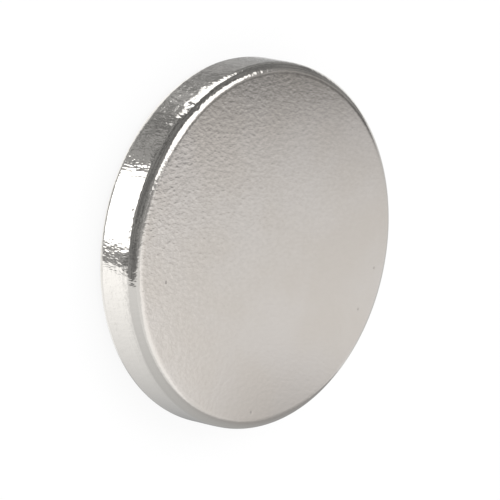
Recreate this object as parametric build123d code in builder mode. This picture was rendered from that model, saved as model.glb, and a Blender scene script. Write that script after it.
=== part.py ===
"""Disc magnet: one sintered, plated disc with rounded edges.

It lies flat on its lower pole face. The origin is the centre of that face,
and +Z runs along the disc's axis, which is also its magnetic axis. All sizes are in millimetres.
"""

from build123d import *
import os

disc_diameter = 20.0
disc_thickness = 3.0
edge_radius = 0.6

# Disc: a short cylinder whose two circular edges were tumbled round before plating.
with BuildPart() as magnet_disc:
    with BuildSketch(Plane.XY):
        Circle(disc_diameter / 2)
    extrude(amount=disc_thickness)
    fillet(magnet_disc.edges().filter_by(GeomType.CIRCLE), radius=edge_radius)

magnet_disc.part.label = "magnet_disc"

os.makedirs("parts", exist_ok=True)
export_step(magnet_disc.part, "parts/magnet_disc.step")
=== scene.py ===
from math import cos, hypot, pi, radians, sin

import bmesh
import bpy
from bpy.props import FloatProperty, FloatVectorProperty, IntProperty, PointerProperty
from mathutils import Matrix, Vector, noise


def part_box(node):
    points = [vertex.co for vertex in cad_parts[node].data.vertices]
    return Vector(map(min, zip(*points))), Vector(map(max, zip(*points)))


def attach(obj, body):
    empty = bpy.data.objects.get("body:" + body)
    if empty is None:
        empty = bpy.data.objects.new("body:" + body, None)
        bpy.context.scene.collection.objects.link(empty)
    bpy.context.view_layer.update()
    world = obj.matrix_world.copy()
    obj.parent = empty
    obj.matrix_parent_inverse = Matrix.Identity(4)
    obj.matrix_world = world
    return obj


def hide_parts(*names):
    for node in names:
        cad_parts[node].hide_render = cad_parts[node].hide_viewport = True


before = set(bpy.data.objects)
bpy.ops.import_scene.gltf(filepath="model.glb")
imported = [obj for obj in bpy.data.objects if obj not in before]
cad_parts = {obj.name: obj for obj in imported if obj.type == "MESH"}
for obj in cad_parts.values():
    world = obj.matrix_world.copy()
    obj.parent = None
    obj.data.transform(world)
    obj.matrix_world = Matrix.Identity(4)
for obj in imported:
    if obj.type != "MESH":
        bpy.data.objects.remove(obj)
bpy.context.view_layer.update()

bl_info = {
    "name": "Disc magnet",
    "version": (1, 0, 0),
    "blender": (4, 5, 0),
    "location": "View3D > Sidebar > Magnet",
    "description": "Nickel-plated disc magnet with tumbled edges, and the studio that it stands in",
    "category": "Add Mesh",
}

NODE = "magnet_disc"
MM = 0.001
DISC_LOW, DISC_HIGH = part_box(NODE)
DISC_THICKNESS = DISC_HIGH.z - DISC_LOW.z
DISC_CENTRE = (DISC_LOW + DISC_HIGH) / 2

# Two heights or reaches this near each other count as the same.
NEARLY = 0.01 * MM
# How often the grid of a pole face is relaxed.
FACE_RELAX_ROUNDS = 60

# Lengths of the long and the short waves in the surface, and the short ones' share of the depth.
LONG_WAVE = 5 * MM
SHORT_WAVE = 1.1 * MM
SHORT_WAVE_SHARE = 0.4
# The upper edge is worn from this far below its rounding.
WEAR_BELOW_EDGE = 0.4 * MM
# The nick's ends: how far they lie below the upper face, and how far its head lies in from the rim.
NICK_FOOT_DROP = 0.68 * MM
NICK_HEAD_DROP = 0.2 * MM
NICK_HEAD_INSET = 0.25 * MM

# Each pinhole's X and Y in millimetres, and how dark and deep it is, out of 1.
PITS = ((-0.1, 8.8, 0.25), (2.3, 8.2, 0.25), (2.9, -7.2, 0.5), (8.9, 1.4, 0.25))
PIT_FLOOR_RADIUS = 0.04 * MM
PIT_RADIUS = 0.12 * MM

# Pebbles of the relief on the faces and edges, as shares of the grain size.
FACE_PEBBLE = 0.6
EDGE_PEBBLE = 0.9
# Scales along X, Y and Z, small where the pattern is drawn out.
FACE_STRETCH = (1, 0.65, 1)
EDGE_STRETCH = (1, 1, 0.45)
WAVE_STRETCH = (0.2, 0.2, 1)
# Noise seldom leaves this range.
NOISE_LOW = 0.3
NOISE_HIGH = 0.7
# The burnished finish is full from this share of the edge radius inside the rim.
BURNISHED_FROM = 0.3
# Where the grain's coarse side ends and its smooth side begins along X + Y, as shares of the
# radius, and the height that is left on the smooth side.
COARSE_END = -1.6
SMOOTH_START = 0.9
SMOOTH_GRAIN = 0.1
# Where along X, as shares of the radius, the faces' grain begins and ends to grow higher again,
# and how many times higher it gets.
INWARD_START = -0.8
INWARD_END = 0.3
INWARD_GAIN = 4.5
# Size of the clouds of light tarnish, its colour as shares of clean nickel, and its swing in gloss.
CLOUD_SIZE = 4 * MM
TARNISH = (0.97, 0.96, 0.94)
GLOSS_SWING = (0.9, 1.1)
# How many times rougher than edge_roughness the smooth side's edges become.
DULL_EDGE = 2.2

# The near card: its width, how far it stands off, and where it is cut short towards +X.
FACE_CARD_SIZE = 44 * MM
FACE_CARD_DISTANCE = 37 * MM
FACE_CARD_END = 14 * MM
# Turn of its shading in degrees, and its brightness at places from 0 to 1 across it.
FACE_CARD_TURN = -12
FACE_CARD_STOPS = ((0.0, 0.48), (0.12, 0.4), (0.21, 0.13), (0.35, 0.75), (0.45, 0.89), (0.6, 0.95))
# A dim spot at the card's end: its centre, radius and brightness.
DIM_SPOT = (14 * MM, 4 * MM, 0)
DIM_SPOT_RADIUS = 10 * MM
DIM_SPOT_LEVEL = 0.42
# A bright corner towards +X and -Y: where it begins, where it is full, and its brightness.
BRIGHT_CORNER = (10 * MM, 17 * MM, 1.2)

# Size of the patches on the mottled cards.
MOTTLE_SIZE = 0.14
CARD_STEPS_UP = 32
CARD_STEPS_ROUND = 48

# The curved cards, whose values are those that add_card describes.
CARDS = (
    {
        "name": "back_drape", "azimuths": (104, 207), "elevations": (-50, 90), "distance": 1.2,
        "levels": (0.27, 0.18), "lifts": (0.36, 0.36), "mottle": 0.4,
    },
    {
        "name": "front_drape", "azimuths": (203, 307), "elevations": (-90, 90), "distance": 1.2,
        "levels": (0.21, 0.22), "lifts": (0.25, 0.36), "mottle": 0.5,
    },
    {
        "name": "table_glow", "azimuths": (-45, 187), "elevations": (-90, -48), "distance": 1.1,
        "levels": (1.15, 1.4), "soft": 5, "fade": 5,
    },
    {
        "name": "right_wall", "azimuths": (-57, 80), "elevations": (-50, 40), "distance": 1.0,
        "levels": (0.99, 0.39),
    },
    {
        "name": "side_strip", "azimuths": (80, 110), "elevations": (-60, 50), "distance": 0.9,
        "levels": (0.75, 0.75),
    },
    {
        "name": "low_right_card", "azimuths": (-62, 89), "elevations": (-61, -34), "distance": 0.5,
        "levels": (1.62, 0.26), "soft": 4, "fade": 10,
    },
    {
        "name": "low_front_card", "azimuths": (-122, -70), "elevations": (-61, -35.5), "distance": 0.5,
        "levels": (3, 3), "soft": 4, "fade": 4,
    },
    {
        "name": "low_back_card", "azimuths": (99, 127), "elevations": (-41, -2), "distance": 0.7,
        "levels": (1.12, 0.95), "soft": 8, "fade": 8,
    },
    {
        "name": "left_strip", "azimuths": (167, 205), "elevations": (-42.5, -1), "distance": 0.5,
        "levels": (2.2, 2.2), "soft": 5, "fade": 5,
    },
)

# The lamps: their sides in X and Y as shares of their height, the height in metres and the level.
SOFTBOXES = (
    {
        "name": "left_softbox", "left": -1.08, "right": -0.242, "near": -0.48, "far": 0.75,
        "height": 0.25, "level": 1.6,
    },
    {
        "name": "right_softbox", "left": 0.08, "right": 0.8, "near": -0.05, "far": 0.75,
        "height": 0.25, "level": 0.32,
    },
)

# Half the floor's width in metres, the grey of its paper, how far it is lit to plain white, and
# its gap below the disc.
FLOOR_REACH = 1.5
PAPER_GREY = 0.9
FLOOR_WHITENESS = 0.87
FLOOR_GAP = 0.01 * MM

SENSOR_WIDTH_IN_MM = 36
NEAREST_SEEN = 10 * MM


# Sizes and finishes ------------------------------------------------------------------------------


class MagnetDiscSettings(bpy.types.PropertyGroup):
    """The disc's sizes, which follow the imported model, and how finely it is meshed"""

    radius: FloatProperty(
        name="Radius",
        description="Radius of the disc",
        default=(DISC_HIGH.x - DISC_LOW.x) / 2,
        unit="LENGTH",
    )
    edge_radius: FloatProperty(
        name="Edge radius",
        description="Radius that tumbling gave both circular edges",
        default=0.6 * MM,
        unit="LENGTH",
    )
    segments: IntProperty(
        name="Segments",
        description="Steps around the disc, a multiple of four",
        default=704,
    )
    edge_rings: IntProperty(
        name="Edge rings",
        description="Steps across each rounded edge",
        default=14,
    )
    rim_rings: IntProperty(
        name="Rim rings",
        description="Steps across the straight rim",
        default=12,
    )
    edge_ripple: FloatProperty(
        name="Edge ripple",
        description="Depth of the unevenness that tumbling left on the rim and edges",
        default=0.006 * MM,
        unit="LENGTH",
    )
    face_ripple: FloatProperty(
        name="Face ripple",
        description="Depth of the long waves that grinding left in the pole faces",
        default=0.0015 * MM,
        unit="LENGTH",
    )
    edge_blend: FloatProperty(
        name="Edge blend",
        description="How much the upper edge is worn back where it meets the straight rim",
        default=0.011 * MM,
        unit="LENGTH",
    )
    nick_azimuth: FloatProperty(
        name="Nick azimuth",
        description="Where the one nick crosses the upper edge",
        default=radians(-131),
        subtype="ANGLE",
    )
    nick_width: FloatProperty(
        name="Nick width",
        description="Half the width of the nick",
        default=0.13 * MM,
        unit="LENGTH",
    )
    nick_depth: FloatProperty(
        name="Nick depth",
        description="Depth of the nick",
        default=0.06 * MM,
        unit="LENGTH",
    )


class MagnetPlatingSettings(bpy.types.PropertyGroup):
    """The nickel plating's colour, gloss and grain"""

    colour: FloatVectorProperty(
        name="Nickel",
        description="Colour of clean nickel plating",
        subtype="COLOR",
        size=3,
        default=(0.63, 0.595, 0.564),
    )
    edge_colour: FloatVectorProperty(
        name="Burnished nickel",
        description="Colour of the plating on the rim and edges, which tumbling keeps bright",
        subtype="COLOR",
        size=3,
        default=(0.64, 0.62, 0.588),
    )
    pit_colour: FloatVectorProperty(
        name="Pits",
        description="Colour in the few pinholes of the plating",
        subtype="COLOR",
        size=3,
        default=(0.2, 0.19, 0.175),
    )
    face_roughness: FloatProperty(
        name="Face roughness",
        description="Roughness of the satin pole faces",
        default=0.19,
    )
    edge_roughness: FloatProperty(
        name="Edge roughness",
        description="Roughness of the burnished rim and edges",
        default=0.06,
    )
    grain_size: FloatProperty(
        name="Grain size",
        description="Width of one pebble of the plated grain",
        default=0.3 * MM,
        unit="LENGTH",
    )
    face_grain: FloatProperty(
        name="Face grain",
        description="Height of the grain on the pole faces",
        default=0.01 * MM,
        unit="LENGTH",
    )
    edge_grain: FloatProperty(
        name="Edge grain",
        description="Height of the grain on the rim and edges",
        default=0.028 * MM,
        unit="LENGTH",
    )
    edge_wave: FloatProperty(
        name="Edge wave",
        description="Height of the waves that run along the rim",
        default=0.005 * MM,
        unit="LENGTH",
    )
    # Painted shade: this sets how much darker the valleys of the face's grain are coloured than its
    # tops, standing in for shade and light on the relief.
    grain_valley_shade: FloatProperty(
        name="Grain contrast",
        description="How much duller the valleys of the face's grain are than its tops",
        default=0.35,
    )
    pit_depth: FloatProperty(
        name="Pit depth",
        description="Depth of the pinholes",
        default=0.02 * MM,
        unit="LENGTH",
    )


class MagnetStudioSettings(bpy.types.PropertyGroup):
    """Where the camera stands, and how the disc is lit"""

    camera_elevation: FloatProperty(
        name="Camera elevation",
        description="How far the camera looks down on the disc",
        default=radians(42.6),
        subtype="ANGLE",
    )
    camera_roll: FloatProperty(
        name="Camera roll",
        description="Turn of the camera about its own line of sight, which shows the disc on edge",
        default=radians(101.8),
        subtype="ANGLE",
    )
    camera_distance: FloatProperty(
        name="Camera distance",
        description="Distance from the camera to the disc's centre",
        default=269.2 * MM,
        unit="LENGTH",
    )
    camera_lens: FloatProperty(
        name="Lens",
        description="Focal length in millimetres on a 36 mm sensor",
        default=360.0,
    )
    camera_offset: FloatVectorProperty(
        name="Camera offset",
        description="How far the camera stands right of and above the line to the disc's centre",
        size=2,
        default=(0.126 * MM, -0.372 * MM),
        unit="LENGTH",
    )
    room_level: FloatProperty(
        name="Room light",
        description="Strength of the even light from all round",
        default=1.0,
    )


# Mesh of the disc --------------------------------------------------------------------------------


def disc_profile(bm, sizes):
    """The section from the lower face's edge, round and up the rim, to the upper face's edge."""
    inner = sizes.radius - sizes.edge_radius
    start = bm.verts.new((inner, 0, DISC_LOW.z))
    lower_centre = Vector((inner, 0, DISC_LOW.z + sizes.edge_radius))
    upper_centre = Vector((inner, 0, DISC_HIGH.z - sizes.edge_radius))
    rim_height = upper_centre.z - lower_centre.z

    def swing(vert, centre):
        return bmesh.ops.spin(
            bm, geom=[vert], cent=centre, axis=(0, -1, 0), dvec=(0, 0, 0),
            angle=pi / 2, steps=sizes.edge_rings, use_duplicate=False,
        )["geom_last"][0]

    rim_start = swing(start, lower_centre)
    rim_end = bmesh.ops.spin(
        bm, geom=[rim_start], cent=(0, 0, 0), axis=(0, 0, 1), angle=0,
        dvec=(0, 0, rim_height / sizes.rim_rings), steps=sizes.rim_rings, use_duplicate=False,
    )["geom_last"][0]
    swing(rim_end, upper_centre)


def close_face(bm, z, sizes):
    """Fills one pole face with an even grid of quads, relaxed so that its squares grow alike."""
    inner = sizes.radius - sizes.edge_radius
    ring = [
        e for e in bm.edges
        if e.is_boundary and all(abs(v.co.z - z) < NEARLY for v in e.verts)
    ]
    sides = []
    for e in ring:
        middle = (e.verts[0].co + e.verts[1].co) / 2
        if abs(middle.x) > abs(middle.y):
            sides.append(e)
    bmesh.ops.grid_fill(bm, edges=sides, use_smooth=True)
    inside = [
        v for v in bm.verts
        if abs(v.co.z - z) < NEARLY and hypot(v.co.x, v.co.y) < inner - NEARLY
    ]
    for _ in range(FACE_RELAX_ROUNDS):
        bmesh.ops.smooth_vert(bm, verts=inside, factor=0.5, use_axis_x=True, use_axis_y=True)


def nick_gap(place, sizes):
    """Distance from this place to the line of the one nick, which crosses the upper edge."""
    across = Vector((cos(sizes.nick_azimuth), sin(sizes.nick_azimuth), 0))
    foot = across * sizes.radius + Vector((0, 0, DISC_HIGH.z - NICK_FOOT_DROP))
    head = across * (sizes.radius - NICK_HEAD_INSET) + Vector((0, 0, DISC_HIGH.z - NICK_HEAD_DROP))
    share = min(max((place - foot).dot(head - foot) / (head - foot).length_squared, 0), 1)
    return (place - foot - share * (head - foot)).length


def ripple_depth(place, sizes):
    """How deep the surface lies below the ideal disc at this place."""
    reach = hypot(place.x, place.y)
    flat_radius = sizes.radius - sizes.edge_radius
    edge_share = min(max((reach - flat_radius) / sizes.edge_radius, 0), 1)
    long_wave = 0.5 + 0.5 * noise.noise(place / LONG_WAVE)
    short_wave = 0.5 + 0.5 * noise.noise(place / SHORT_WAVE + Vector((7, 3, 1)))
    worn_height = sizes.edge_radius + WEAR_BELOW_EDGE
    wear_start = DISC_THICKNESS / 2 - worn_height
    climb = (place.z - DISC_CENTRE.z - wear_start) / worn_height
    worn = sizes.edge_blend * sin(pi * min(max(climb, 0), 1)) ** 2
    nick = sizes.nick_depth * max(0, 1 - (nick_gap(place, sizes) / sizes.nick_width) ** 2)
    edge_waves = (1 - SHORT_WAVE_SHARE) * long_wave + SHORT_WAVE_SHARE * short_wave
    return nick + worn + (
        sizes.face_ripple * long_wave * (1 - edge_share)
        + sizes.edge_ripple * edge_waves * edge_share
    )


def build_disc(sizes):
    """The whole disc as one closed mesh with the unevenness of a real one."""
    bm = bmesh.new()
    disc_profile(bm, sizes)
    bmesh.ops.spin(
        bm, geom=bm.verts[:] + bm.edges[:], cent=(0, 0, 0), axis=(0, 0, 1), dvec=(0, 0, 0),
        angle=2 * pi, steps=sizes.segments, use_merge=True, use_duplicate=False,
    )
    bmesh.ops.remove_doubles(bm, verts=bm.verts, dist=0.001 * MM)
    close_face(bm, DISC_HIGH.z, sizes)
    close_face(bm, DISC_LOW.z, sizes)
    bmesh.ops.recalc_face_normals(bm, faces=bm.faces)
    bm.normal_update()
    moves = [(v, v.normal * ripple_depth(v.co, sizes)) for v in bm.verts]
    for v, move in moves:
        v.co -= move
    for face in bm.faces:
        face.smooth = True
    mesh = bpy.data.meshes.new("plated_disc")
    bm.to_mesh(mesh)
    bm.free()
    return mesh


# Materials ---------------------------------------------------------------------------------------


class Nodes:
    """Short calls that add, set and join the nodes of one node tree."""

    def __init__(self, tree):
        self.tree = tree
        tree.nodes.clear()

    def add(self, kind, **settings):
        node = self.tree.nodes.new(kind)
        for name, value in settings.items():
            setattr(node, name, value)
        return node

    def feed(self, socket, value):
        if isinstance(value, bpy.types.NodeSocket):
            self.tree.links.new(value, socket)
        else:
            socket.default_value = value

    def math(self, operation, a, b=0.0, clamp=False):
        node = self.add("ShaderNodeMath", operation=operation, use_clamp=clamp)
        self.feed(node.inputs[0], a)
        self.feed(node.inputs[1], b)
        return node.outputs[0]

    def smooth_step(self, value, low, high, to_low=0.0, to_high=1.0):
        node = self.add("ShaderNodeMapRange", interpolation_type="SMOOTHSTEP")
        for socket, given in zip(node.inputs, (value, low, high, to_low, to_high)):
            self.feed(socket, given)
        return node.outputs["Result"]

    def noise(self, place, size, detail=0.0, roughness=0.5):
        node = self.add("ShaderNodeTexNoise")
        self.feed(node.inputs["Vector"], place)
        self.feed(node.inputs["Scale"], 1 / size)
        self.feed(node.inputs["Detail"], detail)
        self.feed(node.inputs["Roughness"], roughness)
        return node.outputs["Fac"]

    def mix(self, share, a, b, kind="RGBA"):
        node = self.add("ShaderNodeMix", data_type=kind)
        first = 6 if kind == "RGBA" else 2
        self.feed(node.inputs[0], share)
        self.feed(node.inputs[first], a)
        self.feed(node.inputs[first + 1], b)
        return node.outputs[2 if kind == "RGBA" else 0]


def edge_share_of(nodes, place, sizes):
    """0 on the pole faces, rising to 1 over the rounded edge and staying so on the rim."""
    flat = nodes.add("ShaderNodeVectorMath", operation="MULTIPLY")
    nodes.feed(flat.inputs[0], place)
    nodes.feed(flat.inputs[1], (1, 1, 0))
    reach = nodes.add("ShaderNodeVectorMath", operation="LENGTH")
    nodes.feed(reach.inputs[0], flat.outputs[0])
    start = sizes.radius - sizes.edge_radius
    full = sizes.radius - BURNISHED_FROM * sizes.edge_radius
    return nodes.smooth_step(reach.outputs["Value"], start, full)


def stretched(nodes, place, scale):
    """Places scaled so that a pattern on them is drawn out along the axes of small scale."""
    node = nodes.add("ShaderNodeVectorMath", operation="MULTIPLY")
    nodes.feed(node.inputs[0], place)
    nodes.feed(node.inputs[1], scale)
    return node.outputs[0]


def coarse_side(nodes, place, sizes):
    """1 where the pole face is coarsest, towards -X and -Y, fading to almost smooth opposite; it also
    sets how strong the painted shade and light in the face's grain are.
    """
    along = nodes.add("ShaderNodeVectorMath", operation="DOT_PRODUCT")
    nodes.feed(along.inputs[0], place)
    nodes.feed(along.inputs[1], (1, 1, 0))
    return nodes.smooth_step(
        along.outputs["Value"],
        COARSE_END * sizes.radius, SMOOTH_START * sizes.radius, 1.0, SMOOTH_GRAIN,
    )


def pit_mask(nodes, place):
    """1 inside the few pinholes of the upper pole face."""
    mask = 0.0
    for x, y, share in PITS:
        gap = nodes.add("ShaderNodeVectorMath", operation="DISTANCE")
        nodes.feed(gap.inputs[0], place)
        nodes.feed(gap.inputs[1], (x * MM, y * MM, DISC_HIGH.z))
        spot = nodes.smooth_step(gap.outputs["Value"], PIT_FLOOR_RADIUS, PIT_RADIUS, share, 0.0)
        mask = nodes.math("MAXIMUM", spot, mask)
    return mask


def plating_material(sizes, look):
    """Bright nickel: burnished on the rim and edges, satin and finely pebbled on the faces."""
    material = bpy.data.materials.new("nickel_plating")
    material.use_nodes = True
    nodes = Nodes(material.node_tree)
    output = nodes.add("ShaderNodeOutputMaterial")
    shader = nodes.add("ShaderNodeBsdfPrincipled")
    nodes.feed(output.inputs["Surface"], shader.outputs[0])
    shader.inputs["Metallic"].default_value = 1.0
    place = nodes.add("ShaderNodeTexCoord").outputs["Object"]
    edge_share = edge_share_of(nodes, place, sizes)

    face_relief = nodes.noise(
        stretched(nodes, place, FACE_STRETCH), FACE_PEBBLE * look.grain_size, detail=2.0
    )
    edge_relief = nodes.noise(
        stretched(nodes, place, EDGE_STRETCH), EDGE_PEBBLE * look.grain_size, detail=2.0
    )
    coarse = coarse_side(nodes, place, sizes)
    axes = nodes.add("ShaderNodeSeparateXYZ")
    nodes.feed(axes.inputs[0], place)
    inward = nodes.smooth_step(
        axes.outputs["X"],
        INWARD_START * sizes.radius, INWARD_END * sizes.radius, 1.0, INWARD_GAIN,
    )
    roughened = nodes.math("MULTIPLY", nodes.math("MULTIPLY", coarse, inward), look.face_grain)
    face_height = nodes.math("MULTIPLY", face_relief, roughened)
    wave = nodes.noise(stretched(nodes, place, WAVE_STRETCH), look.grain_size, detail=1.0)
    edge_height = nodes.math(
        "ADD",
        nodes.math("MULTIPLY", edge_relief, nodes.math("MULTIPLY", coarse, look.edge_grain)),
        nodes.math("MULTIPLY", wave, look.edge_wave),
    )
    pits = pit_mask(nodes, place)
    height = nodes.mix(edge_share, face_height, edge_height, kind="FLOAT")
    bump = nodes.add("ShaderNodeBump")
    nodes.feed(bump.inputs["Strength"], 1.0)
    nodes.feed(bump.inputs["Distance"], 1.0)
    nodes.feed(
        bump.inputs["Height"],
        nodes.math("SUBTRACT", height, nodes.math("MULTIPLY", pits, look.pit_depth)),
    )
    nodes.feed(shader.inputs["Normal"], bump.outputs[0])

    cloud = nodes.noise(place, CLOUD_SIZE, detail=2.0)
    duller = nodes.math("SUBTRACT", DULL_EDGE, nodes.math("MULTIPLY", coarse, DULL_EDGE - 1))
    edge_roughness = nodes.math("MULTIPLY", duller, look.edge_roughness)
    roughness = nodes.mix(edge_share, look.face_roughness, edge_roughness, kind="FLOAT")
    uneven = nodes.smooth_step(cloud, NOISE_LOW, NOISE_HIGH, *GLOSS_SWING)
    nodes.feed(shader.inputs["Roughness"], nodes.math("MULTIPLY", roughness, uneven))

    clean = (*look.colour, 1)
    tarnished = (*(share * level for share, level in zip(TARNISH, look.colour)), 1)
    face_colour = nodes.mix(nodes.smooth_step(cloud, NOISE_LOW, NOISE_HIGH), clean, tarnished)
    base = nodes.mix(edge_share, face_colour, (*look.edge_colour, 1))
    # Painted shade and light: the face's base colour is darkened in the grain's valleys and lightened
    # on its tops, most on the coarse side.
    swing = nodes.math("MULTIPLY", nodes.math("SUBTRACT", face_relief, 0.5), look.grain_valley_shade)
    on_face = nodes.math("MULTIPLY", coarse, nodes.math("SUBTRACT", 1.0, edge_share))
    shade = nodes.math("ADD", nodes.math("MULTIPLY", swing, on_face), 1.0)
    valley_shaded = nodes.add("ShaderNodeVectorMath", operation="SCALE")
    nodes.feed(valley_shaded.inputs[0], base)
    nodes.feed(valley_shaded.inputs["Scale"], shade)
    nodes.feed(
        shader.inputs["Base Color"], nodes.mix(pits, valley_shaded.outputs[0], (*look.pit_colour, 1))
    )
    return material


# Studio ------------------------------------------------------------------------------------------


def card_light_group():
    """How brightly a curved card shines at each place, and how far its soft edges let it cover."""
    tree = bpy.data.node_groups.new("card_light", "ShaderNodeTree")
    for name in (
        "Half turn", "Low", "High", "Softness", "Fade", "First level", "Last level", "Head lift",
        "Foot lift", "Mottle",
    ):
        tree.interface.new_socket(name, in_out="INPUT", socket_type="NodeSocketFloat")
    for name in ("Level", "Cover"):
        tree.interface.new_socket(name, in_out="OUTPUT", socket_type="NodeSocketFloat")
    nodes = Nodes(tree)
    given = nodes.add("NodeGroupInput").outputs
    result = nodes.add("NodeGroupOutput").inputs
    towards = nodes.add("ShaderNodeVectorMath", operation="NORMALIZE")
    nodes.feed(towards.inputs[0], nodes.add("ShaderNodeTexCoord").outputs["Object"])
    axes = nodes.add("ShaderNodeSeparateXYZ")
    nodes.feed(axes.inputs[0], towards.outputs[0])
    azimuth = nodes.math("ARCTAN2", axes.outputs["Y"], axes.outputs["X"])
    elevation = nodes.math("ARCSINE", axes.outputs["Z"])

    share = nodes.add("ShaderNodeMapRange")
    back = nodes.math("MULTIPLY", given["Half turn"], -1.0)
    for socket, value in zip(
        share.inputs,
        (azimuth, back, given["Half turn"], given["First level"], given["Last level"]),
    ):
        nodes.feed(socket, value)
    above = nodes.math("MAXIMUM", axes.outputs["Z"], 0.0)
    below = nodes.math("MINIMUM", axes.outputs["Z"], 0.0)
    head = nodes.math("MULTIPLY", nodes.math("POWER", above, 4.0), given["Head lift"])
    foot = nodes.math("MULTIPLY", nodes.math("MULTIPLY", below, below), given["Foot lift"])
    level = nodes.math("ADD", share.outputs["Result"], nodes.math("ADD", head, foot))
    patches = nodes.noise(towards.outputs[0], MOTTLE_SIZE, detail=2.0)
    patch = nodes.smooth_step(patches, NOISE_LOW, NOISE_HIGH, -1.0, 1.0)
    uneven = nodes.math("ADD", nodes.math("MULTIPLY", patch, given["Mottle"]), 1.0)
    nodes.feed(result["Level"], nodes.math("MULTIPLY", level, uneven))

    inside = nodes.math("SUBTRACT", given["Half turn"], nodes.math("ABSOLUTE", azimuth))
    cover = nodes.smooth_step(inside, 0.0, given["Softness"])
    for height in (
        nodes.math("SUBTRACT", elevation, given["Low"]),
        nodes.math("SUBTRACT", given["High"], elevation),
    ):
        cover = nodes.math("MULTIPLY", cover, nodes.smooth_step(height, 0.0, given["Fade"]))
    nodes.feed(result["Cover"], cover)
    return tree


def shine_only(card):
    """The card is seen only in reflections, so it neither shows nor shades the floor."""
    card.visible_camera = False
    card.visible_diffuse = False
    card.visible_transmission = False
    card.visible_volume_scatter = False
    card.visible_shadow = False


def card_material(name, light_group, settings):
    """Light from one curved card, clear beyond its soft edges."""
    material = bpy.data.materials.new(name)
    material.use_nodes = True
    nodes = Nodes(material.node_tree)
    output = nodes.add("ShaderNodeOutputMaterial")
    light = nodes.add("ShaderNodeGroup", node_tree=light_group)
    for socket, value in settings.items():
        nodes.feed(light.inputs[socket], value)
    glow = nodes.add("ShaderNodeEmission")
    nodes.feed(glow.inputs["Strength"], light.outputs["Level"])
    clear = nodes.add("ShaderNodeBsdfTransparent")
    blend = nodes.add("ShaderNodeMixShader")
    nodes.feed(blend.inputs[0], light.outputs["Cover"])
    nodes.feed(blend.inputs[1], clear.outputs[0])
    nodes.feed(blend.inputs[2], glow.outputs[0])
    nodes.feed(output.inputs["Surface"], blend.outputs[0])
    return material


def add_card(
    light_group, name, azimuths, elevations, distance, levels,
    lifts=(0, 0), soft=3, fade=3, mottle=0,
):
    """A card curved about the disc, from one azimuth and elevation to another, in degrees.

    distance is in metres. levels are its brightness at its first and last azimuth, and lifts
    what is added to them straight above and straight below. soft is the width of its soft sides
    and fade that of its soft top and bottom, in degrees, and mottle the strength of its patches.
    """
    turn = radians(azimuths[1] - azimuths[0])
    low, high = (radians(angle) for angle in elevations)
    bm = bmesh.new()
    start = bm.verts.new((distance * cos(low), 0, distance * sin(low)))
    bmesh.ops.spin(
        bm, geom=[start], cent=(0, 0, 0), axis=(0, -1, 0), dvec=(0, 0, 0),
        angle=high - low, steps=CARD_STEPS_UP, use_duplicate=False,
    )
    bmesh.ops.rotate(bm, verts=bm.verts, cent=(0, 0, 0), matrix=Matrix.Rotation(-turn / 2, 3, "Z"))
    bmesh.ops.spin(
        bm, geom=bm.verts[:] + bm.edges[:], cent=(0, 0, 0), axis=(0, 0, 1), dvec=(0, 0, 0),
        angle=turn, steps=CARD_STEPS_ROUND, use_duplicate=False,
    )
    mesh = bpy.data.meshes.new(name)
    bm.to_mesh(mesh)
    bm.free()
    mesh.materials.append(card_material(name, light_group, {
        "Half turn": turn / 2,
        "Low": low if elevations[0] > -90 else low - radians(fade),
        "High": high if elevations[1] < 90 else high + radians(fade),
        "Softness": radians(soft),
        "Fade": radians(fade),
        "First level": levels[0],
        "Last level": levels[1],
        "Head lift": lifts[0],
        "Foot lift": lifts[1],
        "Mottle": mottle,
    }))
    card = bpy.data.objects.new(name, mesh)
    card.location = DISC_CENTRE
    card.rotation_euler.z = radians(sum(azimuths) / 2)
    bpy.context.scene.collection.objects.link(card)
    shine_only(card)


def face_card_material():
    """Light from the near card, brighter and dimmer across it as the stops say."""
    material = bpy.data.materials.new("face_card")
    material.use_nodes = True
    nodes = Nodes(material.node_tree)
    output = nodes.add("ShaderNodeOutputMaterial")
    place = nodes.add("ShaderNodeTexCoord").outputs["Object"]
    turned = nodes.add("ShaderNodeMapping")
    nodes.feed(turned.inputs["Vector"], place)
    nodes.feed(turned.inputs["Rotation"], (0, 0, radians(FACE_CARD_TURN)))
    axes = nodes.add("ShaderNodeSeparateXYZ")
    nodes.feed(axes.inputs[0], turned.outputs[0])
    across = nodes.math("ADD", nodes.math("MULTIPLY", axes.outputs["X"], 1 / FACE_CARD_SIZE), 0.5)
    ramp = nodes.add("ShaderNodeValToRGB")
    ramp.color_ramp.interpolation = "EASE"
    nodes.feed(ramp.inputs[0], across)
    while len(ramp.color_ramp.elements) < len(FACE_CARD_STOPS):
        ramp.color_ramp.elements.new(0.5)
    for element, (position, level) in zip(ramp.color_ramp.elements, FACE_CARD_STOPS):
        element.position = position
        element.color = (level, level, level, 1)
    gap = nodes.add("ShaderNodeVectorMath", operation="DISTANCE")
    nodes.feed(gap.inputs[0], place)
    nodes.feed(gap.inputs[1], DIM_SPOT)
    corner = nodes.add("ShaderNodeVectorMath", operation="DOT_PRODUCT")
    nodes.feed(corner.inputs[0], place)
    nodes.feed(corner.inputs[1], (1, -1, 0))
    corner_start, corner_full, corner_level = BRIGHT_CORNER
    glow = nodes.add("ShaderNodeEmission")
    nodes.feed(glow.inputs["Color"], ramp.outputs["Color"])
    nodes.feed(glow.inputs["Strength"], nodes.math(
        "MULTIPLY",
        nodes.smooth_step(gap.outputs["Value"], 0.0, DIM_SPOT_RADIUS, DIM_SPOT_LEVEL, 1.0),
        nodes.smooth_step(corner.outputs["Value"], corner_start, corner_full, 1.0, corner_level),
    ))
    nodes.feed(output.inputs["Surface"], glow.outputs[0])
    return material


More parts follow.
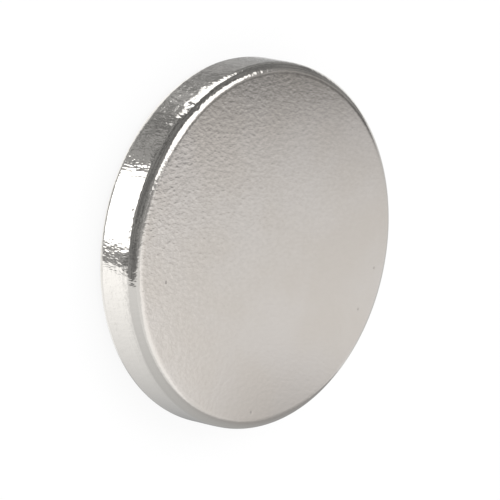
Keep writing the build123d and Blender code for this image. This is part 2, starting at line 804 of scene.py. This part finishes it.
def add_face_card(studio):
    """The near card that the upper pole face mirrors, which darkens towards the face's -X side."""
    tilt = studio.camera_elevation
    bm = bmesh.new()
    bmesh.ops.create_grid(bm, x_segments=1, y_segments=1, size=FACE_CARD_SIZE / 2)
    for v in bm.verts:
        v.co.x = min(v.co.x, FACE_CARD_END)
    mesh = bpy.data.meshes.new("face_card")
    bm.to_mesh(mesh)
    bm.free()
    mesh.materials.append(face_card_material())
    card = bpy.data.objects.new("face_card", mesh)
    card.location = DISC_CENTRE + FACE_CARD_DISTANCE * Vector((0, cos(tilt), sin(tilt)))
    card.rotation_euler = (tilt - pi / 2, 0, 0)
    bpy.context.scene.collection.objects.link(card)
    shine_only(card)


def add_softbox(name, left, right, near, far, height, level):
    """A rectangular lamp lying flat at a height above the disc."""
    light = bpy.data.lights.new(name, "AREA")
    light.shape = "RECTANGLE"
    light.size = (right - left) * height
    light.size_y = (far - near) * height
    light.energy = level * pi * light.size * light.size_y
    lamp = bpy.data.objects.new(name, light)
    lamp.location = ((left + right) / 2 * height, (near + far) / 2 * height, height)
    bpy.context.scene.collection.objects.link(lamp)


def floor_material():
    """White paper that keeps the disc's shadow."""
    material = bpy.data.materials.new("white_floor")
    material.use_nodes = True
    nodes = Nodes(material.node_tree)
    output = nodes.add("ShaderNodeOutputMaterial")
    paper = nodes.add("ShaderNodeBsdfDiffuse")
    nodes.feed(paper.inputs["Color"], (PAPER_GREY, PAPER_GREY, PAPER_GREY, 1))
    white = nodes.add("ShaderNodeEmission")
    nodes.feed(white.inputs["Strength"], 1.0)
    seen = nodes.add("ShaderNodeLightPath")
    shown = nodes.math(
        "MAXIMUM", seen.outputs["Is Camera Ray"],
        nodes.math("MAXIMUM", seen.outputs["Is Glossy Ray"], seen.outputs["Is Transmission Ray"]),
    )
    blend = nodes.add("ShaderNodeMixShader")
    nodes.feed(blend.inputs[0], nodes.math("MULTIPLY", shown, FLOOR_WHITENESS))
    nodes.feed(blend.inputs[1], paper.outputs[0])
    nodes.feed(blend.inputs[2], white.outputs[0])
    nodes.feed(output.inputs["Surface"], blend.outputs[0])
    return material


def add_floor():
    """The sheet of paper just under the disc, which the cards take the place of in reflections."""
    bm = bmesh.new()
    bmesh.ops.create_grid(bm, x_segments=1, y_segments=1, size=FLOOR_REACH)
    mesh = bpy.data.meshes.new("floor")
    bm.to_mesh(mesh)
    bm.free()
    mesh.materials.append(floor_material())
    floor = bpy.data.objects.new("floor", mesh)
    floor.location.z = DISC_LOW.z - FLOOR_GAP
    floor.visible_glossy = False
    bpy.context.scene.collection.objects.link(floor)


def set_world(level):
    """A white room, which lights what is matt at the level that its colour is written at."""
    world = bpy.data.worlds.new("white_room")
    bpy.context.scene.world = world
    world.use_nodes = True
    nodes = Nodes(world.node_tree)
    output = nodes.add("ShaderNodeOutputWorld")
    back = nodes.add("ShaderNodeBackground")
    nodes.feed(back.inputs["Strength"], level)
    nodes.feed(back.inputs["Color"], (1, 1, 1, 1))
    nodes.feed(output.inputs["Surface"], back.outputs[0])


def add_camera(studio):
    """The camera, which looks down on the disc and is rolled about its own line of sight."""
    camera_data = bpy.data.cameras.new("camera")
    camera_data.lens = studio.camera_lens
    camera_data.sensor_width = SENSOR_WIDTH_IN_MM
    camera_data.clip_start = NEAREST_SEEN
    camera = bpy.data.objects.new("camera", camera_data)
    turn = (
        Matrix.Rotation(pi / 2 - studio.camera_elevation, 3, "X")
        @ Matrix.Rotation(studio.camera_roll, 3, "Z")
    )
    right, up, back = turn.col
    camera.matrix_world = Matrix.Translation(
        DISC_CENTRE
        + studio.camera_distance * back
        + studio.camera_offset[0] * right
        + studio.camera_offset[1] * up
    ) @ turn.to_4x4()
    bpy.context.scene.collection.objects.link(camera)
    bpy.context.scene.camera = camera


# Operators ---------------------------------------------------------------------------------------


class MAGNET_OT_build_disc(bpy.types.Operator):
    """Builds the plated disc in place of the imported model's plain one"""

    bl_idname = "magnet.build_disc"
    bl_label = "Plated disc"

    def execute(self, context):
        sizes = context.scene.magnet_disc
        look = context.scene.magnet_plating
        mesh = build_disc(sizes)
        mesh.materials.append(plating_material(sizes, look))
        disc = bpy.data.objects.new("plated_disc", mesh)
        context.scene.collection.objects.link(disc)
        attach(disc, "root")
        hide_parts(NODE)
        return {"FINISHED"}


class MAGNET_OT_build_studio(bpy.types.Operator):
    """Builds the floor, the lights and cards, and the camera"""

    bl_idname = "magnet.build_studio"
    bl_label = "Studio"

    def execute(self, context):
        studio = context.scene.magnet_studio
        context.scene.view_settings.view_transform = "Standard"
        add_floor()
        set_world(studio.room_level)
        for softbox in SOFTBOXES:
            add_softbox(**softbox)
        group = card_light_group()
        for card in CARDS:
            add_card(group, **card)
        add_face_card(studio)
        add_camera(studio)
        return {"FINISHED"}


class MAGNET_PT_panel(bpy.types.Panel):
    """Lists the magnet's settings and builders"""

    bl_idname = "MAGNET_PT_panel"
    bl_label = "Disc magnet"
    bl_space_type = "VIEW_3D"
    bl_region_type = "UI"
    bl_category = "Magnet"

    def draw(self, context):
        layout = self.layout
        for owner in (
            context.scene.magnet_disc,
            context.scene.magnet_plating,
            context.scene.magnet_studio,
        ):
            box = layout.box()
            for name in owner.__annotations__:
                box.prop(owner, name)
        layout.operator(MAGNET_OT_build_disc.bl_idname)
        layout.operator(MAGNET_OT_build_studio.bl_idname)


CLASSES = (
    MagnetDiscSettings,
    MagnetPlatingSettings,
    MagnetStudioSettings,
    MAGNET_OT_build_disc,
    MAGNET_OT_build_studio,
    MAGNET_PT_panel,
)


def register():
    for cls in CLASSES:
        bpy.utils.register_class(cls)
    bpy.types.Scene.magnet_disc = PointerProperty(type=MagnetDiscSettings)
    bpy.types.Scene.magnet_plating = PointerProperty(type=MagnetPlatingSettings)
    bpy.types.Scene.magnet_studio = PointerProperty(type=MagnetStudioSettings)


def unregister():
    del bpy.types.Scene.magnet_studio
    del bpy.types.Scene.magnet_plating
    del bpy.types.Scene.magnet_disc
    for cls in reversed(CLASSES):
        bpy.utils.unregister_class(cls)


def main():
    register()
    bpy.ops.magnet.build_disc()
    bpy.ops.magnet.build_studio()


if __name__ == "__main__":
    main()
